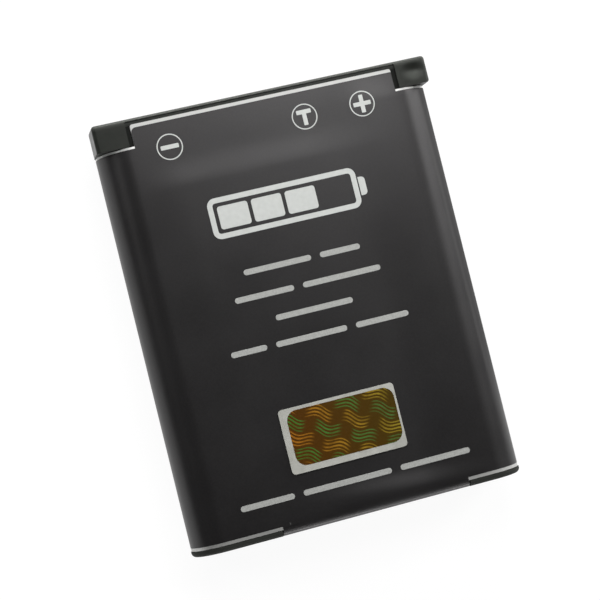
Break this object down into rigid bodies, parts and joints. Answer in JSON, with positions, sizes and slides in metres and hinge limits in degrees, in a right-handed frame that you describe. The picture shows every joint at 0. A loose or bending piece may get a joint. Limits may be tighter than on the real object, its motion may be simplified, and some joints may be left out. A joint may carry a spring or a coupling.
{
  "type": "camera battery",
  "caption": "Flat rechargeable lithium-ion pack for a compact camera: film-wrapped cell, keyed cap with recessed contacts at one end, plain cap at the other.",
  "frame": {"origin": "middle of the pack's box on the plane of its back face, which it lies on", "axes": "+X to the right seen from the printed front, +Y towards the contact end, +Z out of the printed front"},
  "size_m": [0.0316, 0.0396, 0.006],
  "materials": {
    "cap_plastic": "moulded black, finely eroded",
    "label_film": "satin black printed film, white at its cut edges",
    "sticker_foil": "metallised film with a light border",
    "can_aluminium": "drawn, satin",
    "nickel": "plain nickel strip",
    "gasket_plastic": "natural plastic",
    "fibre_sheet": "pressed fibre",
    "board_laminate": "green solder mask on glass-fibre board",
    "contact_gold": "gold plated",
    "chip_mould": "moulded epoxy",
    "chip_ceramic": "fired ceramic with tinned ends",
    "tape_white": "foam tape"
  },
  "bodies": {
    "root": {"top_cap": "cap_plastic", "bottom_cap": "cap_plastic", "label_wrap": "label_film", "security_sticker": "sticker_foil", "cell_can": "can_aluminium", "cell_terminal": "nickel", "terminal_gasket": "gasket_plastic", "lid_insulator": "fibre_sheet", "protection_board": "board_laminate", "contact_negative": "contact_gold", "contact_thermistor": "contact_gold", "contact_positive": "contact_gold", "negative_tab": "nickel", "positive_tab": "nickel", "protection_chip": "chip_mould", "switch_chip": "chip_mould", "thermistor": "chip_ceramic", "chip_resistors": "chip_ceramic", "chip_capacitors": "chip_ceramic", "bottom_tape": "tape_white"}
  },
  "joints": []
}
